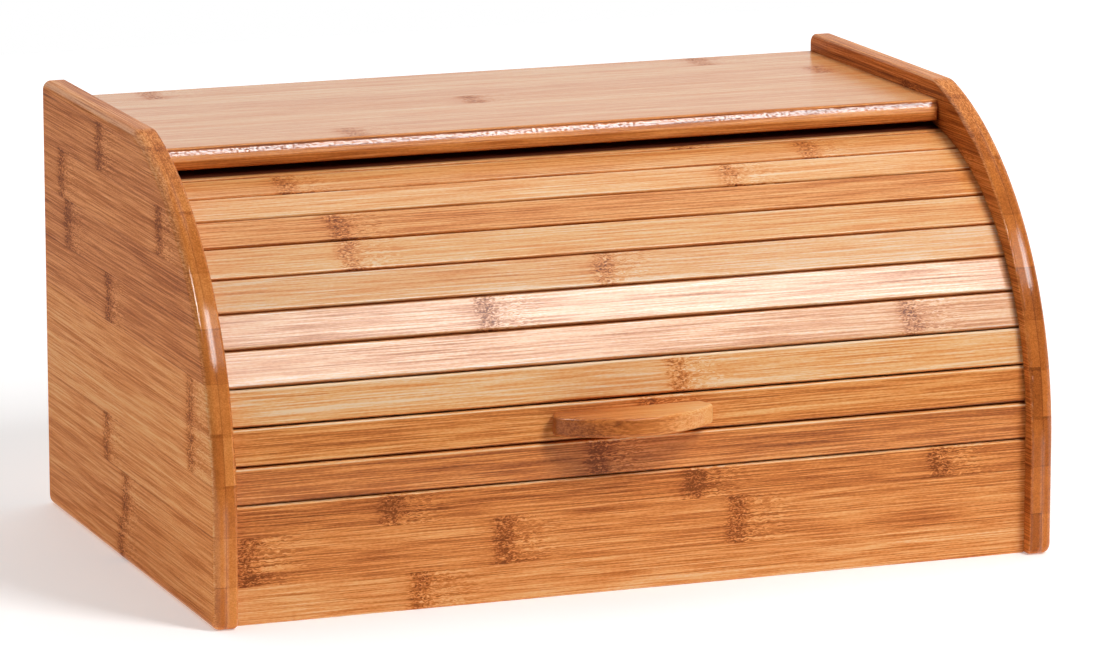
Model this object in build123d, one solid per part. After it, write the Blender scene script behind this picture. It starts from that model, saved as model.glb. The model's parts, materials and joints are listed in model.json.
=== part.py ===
from build123d import *
import math
import os

# Bread box with a roll top: a dowelled bamboo case and a tambour of slats that slides in curved
# grooves. Millimetres. X is the width, -Y is the front, +Z is up. The origin is the middle of
# the case's footprint, on the surface that it stands on.

# Driving dimensions
WIDTH = 400
DEPTH = 260
HEIGHT = 202.5
PANEL_THICKNESS = 11
BOARD_THICKNESS = 10
BACK_BOARD_THICKNESS = 4

# Side panel outline: upright front, large front arc, small blend into the flat top
FRONT_ARC_RADIUS = 156
FRONT_ARC_START = 52.5
TOP_BLEND_RADIUS = 18
PANEL_CORNER_RADIUS = 5
OUTER_EDGE_RADIUS = 3.5
INNER_EDGE_RADIUS = 1.5

# Fixed boards
TOP_BOARD_HEIGHT = 193.75
TOP_BOARD_FRONT = -24
TOP_BOARD_BEVEL_HEIGHT = 5.4
TOP_BOARD_BEVEL_DEPTH = 2.9
TOP_BOARD_BEVEL_TOP_RADIUS = 2.5
TOP_BOARD_NOSE_RADIUS = 2.5
TOP_BOARD_PLAN_CORNER = 3
FRONT_BOARD_FACE = -123
FRONT_BOARD_HEIGHT = 53
BOARD_EDGE_RADIUS = 1.2
BACK_BOARD_RECESS = 4
HOUSING_DEPTH = 4

# Tambour: slats on a circular track; angles run from the front (0) up over the top (90)
TRACK_Y = 2.5
TRACK_Z = 58
SLAT_FACE_DISTANCE = 124.6
SLAT_THICKNESS = 6
SLAT_COUNT = 12
SLAT_PITCH = 7.9
FIRST_SEAM_ANGLE = -2.25
SLAT_INNER_GAP = 0.2
SLAT_EDGE_RADIUS = 0.9
OPEN_ANGLE = 67
GROOVE_DEPTH = 5.5
GROOVE_CLEARANCE = 0.4
GROOVE_END_SLACK = 0.6
SLAT_END_CLEARANCE = 0.5

# Canvas glued to the inner faces of the slats
BACKING_THICKNESS = 0.6
BACKING_SIDE_MARGIN = 4

# Half-moon handle and its screws, driven from the inside
HANDLE_SLAT = 2
HANDLE_CENTRE_X = -4
HANDLE_HALF_WIDTH = 38.5
HANDLE_REACH = 22.5
HANDLE_END_REACH = 6.5
HANDLE_BOTTOM = 74.1
HANDLE_THICKNESS = 8.8
HANDLE_END_RADIUS = 4
HANDLE_END_SLANT = 22
HANDLE_EDGE_RADIUS = 1.5
SCREW_SPACING = 40
SCREW_DROP = 1.5
SCREW_RADIUS = 1.5
SCREW_HEAD_RADIUS = 3
SCREW_HEAD_DEPTH = 1.8
SCREW_LENGTH = 16
SCREW_CLEARANCE = 0.15
SCREW_TIP_CHAMFER = 1.3
RECESS_SPAN = 3.2
RECESS_WIDTH = 0.8
RECESS_DEPTH = 1.2

# Blind dowels
DOWEL_RADIUS = 3
DOWEL_LENGTH = 22
DOWEL_CHAMFER = 0.6
DOWEL_HOLE_CLEARANCE = 0.02
DOWEL_HOLE_SLACK = 0.5
DOWEL_IN_PANEL = 7
DOWEL_IN_FRONT_BOARD = 6
TOP_DOWELS_Y = (-4, 50, 104)
BASE_DOWELS_Y = (-80, 5, 90)
FRONT_DOWELS_Z = (14, 38)
BASE_FRONT_DOWELS_X = (-120, 0, 120)

# Places worked out from the driving dimensions
INNER_X = WIDTH / 2 - PANEL_THICKNESS
INNER_WIDTH = 2 * INNER_X
REAR = DEPTH / 2
TOP_BOARD_UNDERSIDE = TOP_BOARD_HEIGHT - BOARD_THICKNESS
FRONT_BOARD_BACK = FRONT_BOARD_FACE + BOARD_THICKNESS
BACK_BOARD_FACE = REAR - BACK_BOARD_RECESS - BACK_BOARD_THICKNESS
SLAT_BACK_DISTANCE = SLAT_FACE_DISTANCE - SLAT_THICKNESS
HALF_PITCH = math.radians(SLAT_PITCH / 2)
SLAT_WIDTH = 2 * SLAT_BACK_DISTANCE * math.tan(HALF_PITCH) - SLAT_INNER_GAP
SLAT_LENGTH = 2 * (INNER_X + GROOVE_DEPTH - SLAT_END_CLEARANCE)
LAST_SEAM_ANGLE = FIRST_SEAM_ANGLE + SLAT_COUNT * SLAT_PITCH


def on_track(radius, angle):
    """Point (y, z) at a radius and an angle, in degrees, of the tambour's track."""
    turn = math.radians(angle)
    return (TRACK_Y - radius * math.cos(turn), TRACK_Z + radius * math.sin(turn))


def slat_angle(number):
    """Angle at the middle of a slat, counted from 1 at the bottom of the closed roll top."""
    return FIRST_SEAM_ANGLE + (number - 0.5) * SLAT_PITCH


def carry_to_slat(shape, number):
    """Turn a shape made round the track's axis, facing the front, to a slat's place."""
    return Pos(0, TRACK_Y, TRACK_Z) * Rot(-slat_angle(number), 0, 0) * shape


def rod(radius, start, end):
    """Plain round bar between two points."""
    axis = Vector(*end) - Vector(*start)
    circle = Plane(origin=start, z_dir=axis.normalized()) * Circle(radius)
    return extrude(circle, axis.length)


def dowel(start, end):
    """Wooden dowel with chamfered ends."""
    bar = rod(DOWEL_RADIUS, start, end)
    return chamfer(bar.edges().filter_by(GeomType.CIRCLE), DOWEL_CHAMFER)


def dowel_hole(start, end):
    """Blind hole for a dowel, a little longer than it at both ends."""
    direction = (Vector(*end) - Vector(*start)).normalized() * DOWEL_HOLE_SLACK
    far_start = Vector(*start) - direction
    far_end = Vector(*end) + direction
    return rod(DOWEL_RADIUS + DOWEL_HOLE_CLEARANCE, tuple(far_start), tuple(far_end))


def panel_dowel_ends(y, z, side):
    """Ends of a dowel that joins a board to the panel on one side (-1 left, 1 right)."""
    in_panel = side * (INNER_X + DOWEL_IN_PANEL)
    in_board = in_panel - side * DOWEL_LENGTH
    return (in_panel, y, z), (in_board, y, z)


def both_sides(places):
    """Dowel ends for each (y, z) place, at the left and the right panel."""
    return [panel_dowel_ends(y, z, side) for side in (-1, 1) for y, z in places]


TOP_DOWEL_Z = TOP_BOARD_HEIGHT - BOARD_THICKNESS / 2
FRONT_DOWEL_Y = FRONT_BOARD_FACE + BOARD_THICKNESS / 2
BASE_DOWEL_Z = BOARD_THICKNESS / 2
BASE_FRONT_DOWEL_START = FRONT_BOARD_BACK - DOWEL_IN_FRONT_BOARD

TOP_DOWELS = both_sides([(y, TOP_DOWEL_Z) for y in TOP_DOWELS_Y])
FRONT_DOWELS = both_sides([(FRONT_DOWEL_Y, z) for z in FRONT_DOWELS_Z])
BASE_DOWELS = both_sides([(y, BASE_DOWEL_Z) for y in BASE_DOWELS_Y])
BASE_FRONT_DOWELS = [
    ((x, BASE_FRONT_DOWEL_START, BASE_DOWEL_Z), (x, BASE_FRONT_DOWEL_START + DOWEL_LENGTH, BASE_DOWEL_Z))
    for x in BASE_FRONT_DOWELS_X
]


def panel_outline():
    """Side profile of the case, drawn with Y across and Z up."""
    arc_centre_y = FRONT_ARC_RADIUS - REAR
    blend_z = HEIGHT - TOP_BLEND_RADIUS
    blend_distance = FRONT_ARC_RADIUS - TOP_BLEND_RADIUS
    blend_y = arc_centre_y - math.sqrt(blend_distance**2 - (blend_z - FRONT_ARC_START) ** 2)
    arc_angle = math.degrees(math.atan2(blend_z - FRONT_ARC_START, arc_centre_y - blend_y))
    front_arc = CenterArc((arc_centre_y, FRONT_ARC_START), FRONT_ARC_RADIUS, 180, -arc_angle)
    blend_arc = CenterArc((blend_y, blend_z), TOP_BLEND_RADIUS, 180 - arc_angle, arc_angle - 90)
    corners = ((REAR, HEIGHT), (REAR, 0), (-REAR, 0))
    straights = Polyline(blend_arc @ 1, *corners, front_arc @ 0)
    face = make_face([front_arc, blend_arc, *straights.edges()])
    square_corners = [face.vertices().sort_by_distance(corner)[0] for corner in corners]
    return fillet(square_corners, PANEL_CORNER_RADIUS)


def tambour_groove():
    """Curved channel for the slat ends, seen from the side, with Y across and Z up."""
    half_width = SLAT_WIDTH / 2
    outer_radius = math.hypot(SLAT_FACE_DISTANCE, half_width) + GROOVE_CLEARANCE
    inner_radius = SLAT_BACK_DISTANCE - GROOVE_CLEARANCE
    first = FIRST_SEAM_ANGLE - GROOVE_END_SLACK
    last = LAST_SEAM_ANGLE + OPEN_ANGLE + GROOVE_END_SLACK
    centre = (TRACK_Y, TRACK_Z)
    outer = CenterArc(centre, outer_radius, 180 - last, last - first)
    inner = CenterArc(centre, inner_radius, 180 - last, last - first)
    return make_face([outer, inner, Line(outer @ 0, inner @ 0), Line(outer @ 1, inner @ 1)])


def side_panel(side):
    """Side panel with rounded edges, the tambour groove, the back's groove and dowel holes."""
    panel = extrude(Plane.YZ * panel_outline(), PANEL_THICKNESS)
    panel = fillet(panel.faces().sort_by(Axis.X)[-1].edges(), OUTER_EDGE_RADIUS)
    panel = fillet(panel.faces().sort_by(Axis.X)[0].edges(), INNER_EDGE_RADIUS)
    panel -= extrude(Plane.YZ * tambour_groove(), GROOVE_DEPTH)
    panel = Pos(INNER_X, 0, 0) * panel
    panel -= back_board()
    if side < 0:
        panel = mirror(panel, Plane.YZ)
    for start, end in TOP_DOWELS + FRONT_DOWELS + BASE_DOWELS:
        if start[0] * side > 0:
            panel -= dowel_hole(start, end)
    return panel


def board(width, y_range, z_range):
    """Plain board, centred on X, between two Y and two Z values."""
    depth = y_range[1] - y_range[0]
    height = z_range[1] - z_range[0]
    centre = Pos(0, sum(y_range) / 2, sum(z_range) / 2)
    return centre * Box(width, depth, height)


def edges_along_x_at(shape, y, z):
    """Long edges of a board that lie at one Y and Z."""
    near = 0.01
    return [
        edge
        for edge in shape.edges().filter_by(Axis.X)
        if abs(edge.center().Y - y) < near and abs(edge.center().Z - z) < near
    ]


def without_holes(shape, dowels):
    """Cut the blind holes for some dowels."""
    for start, end in dowels:
        shape -= dowel_hole(start, end)
    return shape


def corner_waste(side):
    """What is cut off a front corner of the top board to round it in plan."""
    radius = TOP_BOARD_PLAN_CORNER
    corner = Pos(side * (INNER_X - radius / 2), TOP_BOARD_FRONT + radius / 2, TOP_DOWEL_Z)
    block = corner * Box(radius, radius, 2 * BOARD_THICKNESS)
    centre = Pos(side * (INNER_X - radius), TOP_BOARD_FRONT + radius, TOP_DOWEL_Z)
    return block - centre * Cylinder(radius, 3 * BOARD_THICKNESS)


def top_board():
    """Fixed top: bevelled nose and rounded front corners, housed back board, dowel holes."""
    shape = board(INNER_WIDTH, (TOP_BOARD_FRONT, REAR), (TOP_BOARD_UNDERSIDE, TOP_BOARD_HEIGHT))
    nose_edge = edges_along_x_at(shape, TOP_BOARD_FRONT, TOP_BOARD_HEIGHT)
    front = shape.faces().sort_by(Axis.Y)[0]
    shape = chamfer(nose_edge, TOP_BOARD_BEVEL_HEIGHT, TOP_BOARD_BEVEL_DEPTH, reference=front)
    roundings = (
        (TOP_BOARD_FRONT + TOP_BOARD_BEVEL_DEPTH, TOP_BOARD_HEIGHT, TOP_BOARD_BEVEL_TOP_RADIUS),
        (TOP_BOARD_FRONT, TOP_BOARD_HEIGHT - TOP_BOARD_BEVEL_HEIGHT, TOP_BOARD_NOSE_RADIUS),
        (TOP_BOARD_FRONT, TOP_BOARD_UNDERSIDE, TOP_BOARD_NOSE_RADIUS),
        (REAR, TOP_BOARD_HEIGHT, BOARD_EDGE_RADIUS),
        (REAR, TOP_BOARD_UNDERSIDE, BOARD_EDGE_RADIUS),
    )
    for y, z, radius in roundings:
        shape = fillet(edges_along_x_at(shape, y, z), radius)
    shape -= corner_waste(-1) + corner_waste(1)
    return without_holes(shape - back_board(), TOP_DOWELS)


def front_board():
    """Low fixed board under the roll top."""
    shape = board(INNER_WIDTH, (FRONT_BOARD_FACE, FRONT_BOARD_BACK), (0, FRONT_BOARD_HEIGHT))
    for z in (0, FRONT_BOARD_HEIGHT):
        shape = fillet(edges_along_x_at(shape, FRONT_BOARD_FACE, z), BOARD_EDGE_RADIUS)
    return without_holes(shape, FRONT_DOWELS + BASE_FRONT_DOWELS)


def base_board():
    """Floor of the case; its rear lower edge follows the panels' rounded corners."""
    shape = board(INNER_WIDTH, (FRONT_BOARD_BACK, REAR), (0, BOARD_THICKNESS))
    shape = fillet(edges_along_x_at(shape, REAR, 0), PANEL_CORNER_RADIUS)
    shape = fillet(edges_along_x_at(shape, REAR, BOARD_THICKNESS), BOARD_EDGE_RADIUS)
    return without_holes(shape - back_board(), BASE_DOWELS + BASE_FRONT_DOWELS)


def back_board():
    """Thin back, housed on all four sides."""
    return board(
        INNER_WIDTH + 2 * HOUSING_DEPTH,
        (BACK_BOARD_FACE, BACK_BOARD_FACE + BACK_BOARD_THICKNESS),
        (BOARD_THICKNESS - HOUSING_DEPTH, TOP_BOARD_UNDERSIDE + HOUSING_DEPTH),
    )


def handle_screw_line(x, near, far):
    """Two points on a screw's axis, at two distances from the track's axis."""
    return (x, -near, -SCREW_DROP), (x, -far, -SCREW_DROP)


HANDLE_SCREWS_X = tuple(HANDLE_CENTRE_X + side * SCREW_SPACING / 2 for side in (-1, 1))
SCREW_TIP_DISTANCE = SLAT_BACK_DISTANCE + SCREW_LENGTH


def slat(number):
    """One slat: outer long edges rounded; the handle's slat has countersunk screw holes."""
    distance = SLAT_FACE_DISTANCE - SLAT_THICKNESS / 2
    shape = Pos(0, -distance, 0) * Box(SLAT_LENGTH, SLAT_THICKNESS, SLAT_WIDTH)
    shape = fillet(shape.edges().filter_by(Axis.X).group_by(Axis.Y)[0], SLAT_EDGE_RADIUS)
    if number == HANDLE_SLAT:
        for x in HANDLE_SCREWS_X:
            start, end = handle_screw_line(x, SLAT_BACK_DISTANCE, SLAT_FACE_DISTANCE)
            shape -= rod(SCREW_RADIUS + SCREW_CLEARANCE, start, end)
            shape -= screw_head(start, SCREW_CLEARANCE)
    return carry_to_slat(shape, number)


def screw_head(top, clearance):
    """Countersunk cone of a screw whose flat top is at one point and faces the inside."""
    plane = Plane(origin=top, x_dir=(1, 0, 0), z_dir=(0, -1, 0))
    wide = plane * Circle(SCREW_HEAD_RADIUS + clearance)
    narrow = plane.offset(SCREW_HEAD_DEPTH) * Circle(SCREW_RADIUS + clearance)
    return loft([wide, narrow])


def handle_screw(x):
    """Countersunk wood screw with a cross recess and a pointed tip."""
    top, tip = handle_screw_line(x, SLAT_BACK_DISTANCE, SCREW_TIP_DISTANCE)
    shank = rod(SCREW_RADIUS, top, tip)
    tip_edge = shank.edges().filter_by(GeomType.CIRCLE).sort_by(Axis.Y)[0]
    shape = chamfer(tip_edge, SCREW_TIP_CHAMFER) + screw_head(top, 0)
    for size in ((RECESS_SPAN, RECESS_WIDTH), (RECESS_WIDTH, RECESS_SPAN)):
        shape -= Pos(*top) * Box(size[0], 2 * RECESS_DEPTH, size[1])
    return shape


def handle_screws():
    """Both screws of the handle."""
    return [carry_to_slat(handle_screw(x), HANDLE_SLAT) for x in HANDLE_SCREWS_X]


def handle():
    """Half-moon grip, level when the box is shut, with its back cut to the slat's slope."""
    sagitta = HANDLE_REACH - HANDLE_END_REACH
    root = on_track(SLAT_FACE_DISTANCE, slat_angle(HANDLE_SLAT))[0]
    behind = root + HANDLE_REACH
    left = HANDLE_CENTRE_X - HANDLE_HALF_WIDTH
    right = HANDLE_CENTRE_X + HANDLE_HALF_WIDTH
    end_y = root - HANDLE_END_REACH
    undercut = (behind - end_y) * math.tan(math.radians(HANDLE_END_SLANT))
    front = ThreePointArc((left, end_y), (HANDLE_CENTRE_X, end_y - sagitta), (right, end_y))
    rest = Polyline((right, end_y), (right - undercut, behind), (left + undercut, behind), (left, end_y))
    plan = make_face([front, *rest.edges()])
    corners = [plan.vertices().sort_by_distance((x, end_y))[0] for x in (left, right)]
    plan = fillet(corners, HANDLE_END_RADIUS)
    shape = Pos(0, 0, HANDLE_BOTTOM) * extrude(plan, HANDLE_THICKNESS)
    rims = shape.faces().sort_by(Axis.Z)
    shape = fillet(rims[0].edges() + rims[-1].edges(), HANDLE_EDGE_RADIUS)
    waste = Pos(0, -SLAT_FACE_DISTANCE / 2, 0) * Box(WIDTH, SLAT_FACE_DISTANCE, WIDTH)
    shape -= carry_to_slat(waste, HANDLE_SLAT)
    for x in HANDLE_SCREWS_X:
        start, end = handle_screw_line(x, SLAT_FACE_DISTANCE, SCREW_TIP_DISTANCE)
        shape -= carry_to_slat(rod(SCREW_RADIUS, start, end), HANDLE_SLAT)
    return shape


def tambour_backing():
    """Canvas on the inner faces of the slats: one flat facet behind each slat."""
    outer_radius = SLAT_BACK_DISTANCE / math.cos(HALF_PITCH)
    inner_radius = (SLAT_BACK_DISTANCE - BACKING_THICKNESS) / math.cos(HALF_PITCH)
    seams = [FIRST_SEAM_ANGLE + number * SLAT_PITCH for number in range(SLAT_COUNT + 1)]
    points = [on_track(outer_radius, angle) for angle in seams]
    points += [on_track(inner_radius, angle) for angle in reversed(seams)]
    section = make_face(Polyline(*points, points[0]).edges())
    half_width = INNER_X - BACKING_SIDE_MARGIN
    shape = Pos(-half_width, 0, 0) * extrude(Plane.YZ * section, 2 * half_width)
    for x in HANDLE_SCREWS_X:
        start, end = handle_screw_line(x, SLAT_BACK_DISTANCE - 2 * BACKING_THICKNESS, SLAT_BACK_DISTANCE)
        head_hole = rod(SCREW_HEAD_RADIUS + 2 * SCREW_CLEARANCE, start, end)
        shape -= carry_to_slat(head_hole, HANDLE_SLAT)
    return shape


def group(solids):
    """Several separate solids kept in one node."""
    return Compound(children=list(solids))


def main():
    """Write one STEP file for each node."""
    nodes = {
        "left_side_panel": side_panel(-1),
        "right_side_panel": side_panel(1),
        "top_board": top_board(),
        "front_board": front_board(),
        "base_board": base_board(),
        "back_board": back_board(),
        "tambour_backing": tambour_backing(),
        "handle": handle(),
        "handle_screws": group(handle_screws()),
        "top_board_dowels": group(dowel(*ends) for ends in TOP_DOWELS),
        "front_board_dowels": group(dowel(*ends) for ends in FRONT_DOWELS),
        "base_board_dowels": group(dowel(*ends) for ends in BASE_DOWELS),
        "base_front_dowels": group(dowel(*ends) for ends in BASE_FRONT_DOWELS),
    }
    for number in range(1, SLAT_COUNT + 1):
        nodes[f"slat_{number:02d}"] = slat(number)
    os.makedirs("parts", exist_ok=True)
    for name, shape in nodes.items():
        export_step(shape, f"parts/{name}.step")


main()
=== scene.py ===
import json
import math
from collections import namedtuple

import bmesh
import bpy
from mathutils import Matrix, Vector


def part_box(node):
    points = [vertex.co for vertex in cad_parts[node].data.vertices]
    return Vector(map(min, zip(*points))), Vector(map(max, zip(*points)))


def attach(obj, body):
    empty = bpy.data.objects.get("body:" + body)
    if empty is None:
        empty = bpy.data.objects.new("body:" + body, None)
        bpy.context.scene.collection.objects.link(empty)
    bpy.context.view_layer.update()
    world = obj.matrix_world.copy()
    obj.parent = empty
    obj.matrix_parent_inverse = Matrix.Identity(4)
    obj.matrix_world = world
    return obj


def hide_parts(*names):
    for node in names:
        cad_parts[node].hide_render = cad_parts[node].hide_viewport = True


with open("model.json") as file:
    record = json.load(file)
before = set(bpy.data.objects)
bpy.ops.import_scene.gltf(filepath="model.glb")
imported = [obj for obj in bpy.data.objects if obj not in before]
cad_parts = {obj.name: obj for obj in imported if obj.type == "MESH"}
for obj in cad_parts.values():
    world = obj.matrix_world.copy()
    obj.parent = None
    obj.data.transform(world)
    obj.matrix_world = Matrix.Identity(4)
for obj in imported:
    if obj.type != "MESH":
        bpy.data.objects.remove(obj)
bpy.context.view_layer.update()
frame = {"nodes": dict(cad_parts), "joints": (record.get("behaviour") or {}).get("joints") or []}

# Bread box with a roll top, in laminated bamboo under satin lacquer. The wooden CAD nodes keep
# their shapes and get their wood here; the canvas behind the slats gets a woven mesh of its own.

MM = 0.001
X = Vector((1.0, 0.0, 0.0))
Y = Vector((0.0, 1.0, 0.0))
Z = Vector((0.0, 0.0, 1.0))

NODES = frame["nodes"]
SLATS = sorted(name for name in NODES if name.startswith("slat_"))
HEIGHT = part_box("left_side_panel")[1].z

# The roll top turns about an axis along X through TRACK. Its slats stand round that axis at an
# even pitch, from just below its level, with their outer faces SLAT_FACE millimetres away.
TRACK = Vector(frame["joints"][0]["pos_m"])
SLAT_PITCH = math.radians(7.9)
FIRST_SEAM = math.radians(-2.25)
SLAT_FACE = 124.6
SLAT_THICKNESS = 6.0


# Shader building blocks


class Graph:
    """Short calls that add nodes to one node tree."""

    def __init__(self, tree):
        self.tree = tree

    def add(self, kind, **settings):
        node = self.tree.nodes.new(kind)
        for name, value in settings.items():
            setattr(node, name, value)
        return node

    def feed(self, socket, value):
        if isinstance(value, bpy.types.NodeSocket):
            self.tree.links.new(value, socket)
        else:
            socket.default_value = value

    def coordinates(self, kind):
        """One kind of texture coordinates: the object's own point or normal, or a direction."""
        return self.add("ShaderNodeTexCoord").outputs[kind]

    def math(self, operation, *values):
        node = self.add("ShaderNodeMath", operation=operation)
        for socket, value in zip(node.inputs, values):
            self.feed(socket, value)
        return node.outputs[0]

    def vector(self, operation, *values):
        node = self.add("ShaderNodeVectorMath", operation=operation)
        for socket, value in zip(node.inputs, values):
            self.feed(socket, value)
        return node.outputs["Value" if operation in ("DOT_PRODUCT", "LENGTH") else "Vector"]

    def combine(self, *values):
        node = self.add("ShaderNodeCombineXYZ")
        for socket, value in zip(node.inputs, values):
            self.feed(socket, value)
        return node.outputs[0]

    def separate(self, vector):
        node = self.add("ShaderNodeSeparateXYZ")
        self.feed(node.inputs[0], vector)
        return node.outputs

    def blend(self, factor, low, high):
        """Number between low and high."""
        node = self.add("ShaderNodeMix", data_type="FLOAT")
        for number, value in ((0, factor), (2, low), (3, high)):
            self.feed(node.inputs[number], value)
        return node.outputs[0]

    def mix(self, factor, low, high, how="MIX"):
        """Colour between low and high."""
        node = self.add("ShaderNodeMix", data_type="RGBA", blend_type=how)
        for number, value in ((0, factor), (6, low), (7, high)):
            self.feed(node.inputs[number], value)
        return node.outputs[2]

    def fade(self, value, start, end, low=0.0, high=1.0):
        """Smooth step: low before start, high after end."""
        node = self.add("ShaderNodeMapRange", interpolation_type="SMOOTHSTEP")
        for socket, setting in zip(node.inputs, (value, start, end, low, high)):
            self.feed(socket, setting)
        return node.outputs[0]

    def noise(self, vector, sizes, detail=2.0, roughness=0.5, output="Factor"):
        """Noise whose grain is as large as sizes, in the vector's units."""
        scaled = self.vector("MULTIPLY", vector, tuple(1.0 / size for size in sizes))
        node = self.add("ShaderNodeTexNoise")
        self.feed(node.inputs["Vector"], scaled)
        node.inputs["Scale"].default_value = 1.0
        node.inputs["Detail"].default_value = detail
        node.inputs["Roughness"].default_value = roughness
        return node.outputs[1 if output == "Color" else 0]

    def ramp(self, factor, stops, interpolation="LINEAR"):
        """Colour read from (position, colour) stops."""
        node = self.add("ShaderNodeValToRGB")
        elements = node.color_ramp.elements
        node.color_ramp.interpolation = interpolation
        while len(elements) < len(stops):
            elements.new(1.0)
        for element, (position, colour) in zip(elements, stops):
            element.position = position
            element.color = (*colour, 1.0)
        self.feed(node.inputs[0], factor)
        return node.outputs[0]

    def bump(self, height, strength, depth):
        """Normal tilted by a height that is depth millimetres deep."""
        node = self.add("ShaderNodeBump")
        node.inputs["Strength"].default_value = strength
        node.inputs["Distance"].default_value = depth * MM
        self.feed(node.inputs["Height"], height)
        return node.outputs[0]


def new_material(name):
    """Empty node material: its graph, its Principled shader and the material."""
    material = bpy.data.materials.new(name)
    material.use_nodes = True
    return Graph(material.node_tree), material.node_tree.nodes["Principled BSDF"], material


def wear(node, material):
    """Give a CAD node its material."""
    mesh = NODES[node].data
    mesh.materials.clear()
    mesh.materials.append(material)


# The grain of bamboo. From here on lengths are in millimetres unless a comment says otherwise, and
# a tone is a darkness: 0 reads the palest colour below, 1 the darkest.

BAMBOO_COLOURS = (
    (0.00, (0.88, 0.60, 0.36)),
    (0.20, (0.87, 0.46, 0.175)),
    (0.45, (0.79, 0.295, 0.073)),
    (0.65, (0.60, 0.180, 0.034)),
    (0.85, (0.40, 0.104, 0.018)),
    (1.00, (0.22, 0.055, 0.010)),
)
# Pink strips have their colour multiplied by this one.
PINK = (0.78, 0.97, 1.6, 1.0)

# Size of each mark along, across and through the fibres.
FIBRE = (38.0, 0.60, 0.60)
GRIT = (2.2, 0.5, 0.5)
STREAK = (110.0, 1.5, 1.5)
BAND = (240.0, 8.0, 8.0)
CRACKLE = (1.5, 0.8, 0.8)
SWIRL = (3.2, 1.9, 1.9)
WANDER = (300.0, 3.5, 3.5)

# The two noise values between which a mark changes, and its tone at each. The fibres' tone is then
# multiplied by the strength of their lines: the plain one, and what is added by full feathering.
FIBRE_TONE = (0.36, 0.64, -0.5, 0.5)
GRIT_TONE = (0.35, 0.65, -0.05, 0.05)
STREAK_TONE = (0.34, 0.66, -0.08, 0.10)
BAND_TONE = (0.30, 0.70, -0.07, 0.07)
LINES_PLAIN = 0.34
LINES_FEATHERED = 0.10

# A growth ring sways across the strip. Its core is full up to the first distance from its middle
# and gone at the second, a haze reaches farther, and the fibres past it are feathered.
RING_SWAY = 10.0
RING_CORE = (1.5, 7.5)
RING_HAZE = 15.0
FEATHER_START = -7.0
FEATHER_FULL = 7.0
FEATHER_END = 34.0
# How far the fibres bend aside everywhere, and what feathering and a ring's core add to that.
BEND_PLAIN = 0.06
BEND_FEATHERED = 1.9
BEND_CORE = 1.8
# The crackle noise that makes dark cracks and pale flecks in a ring's core, and what each part of
# a ring adds to the tone. Cracks and fibres also lower the wood's surface.
CRACKS = (0.49, 0.58)
FLECKS = (0.34, 0.42, 1.0, 0.0)
CRACK_TONE = 0.26
CORE_TONE = 0.09
HAZE_TONE = 0.10
FLECK_TONE = -0.16
CRACK_HEIGHT = -0.5
FIBRE_HEIGHT = -1.0


def ring_shares(graph, point, ring):
    """How much of a growth ring's core, of its haze and of the feathering past it is at a point."""
    wander = graph.noise(point, WANDER, detail=3.0)
    past = graph.math("ADD", ring, graph.math("MULTIPLY_ADD", wander, RING_SWAY, -RING_SWAY / 2))
    away = graph.math("ABSOLUTE", past)
    core = graph.fade(away, *RING_CORE, 1.0, 0.0)
    haze = graph.fade(away, 0.0, RING_HAZE, 1.0, 0.0)
    feather = graph.math("MULTIPLY", graph.fade(past, FEATHER_START, FEATHER_FULL),
                         graph.fade(past, FEATHER_FULL, FEATHER_END, 1.0, 0.0))
    return core, haze, feather


def bend(graph, point, core, feather):
    """The point moved aside, so that straight fibres swirl about the rings."""
    swirl = graph.noise(point, SWIRL, detail=1.0, output="Color")
    swirl = graph.vector("SUBTRACT", swirl, (0.5, 0.5, 0.5))
    reach = graph.math("MULTIPLY_ADD", feather, BEND_FEATHERED, BEND_PLAIN)
    reach = graph.math("MULTIPLY_ADD", core, BEND_CORE, reach)
    return graph.vector("ADD", point, graph.vector("MULTIPLY", swirl, graph.combine(0.0, reach, reach)))


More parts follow.
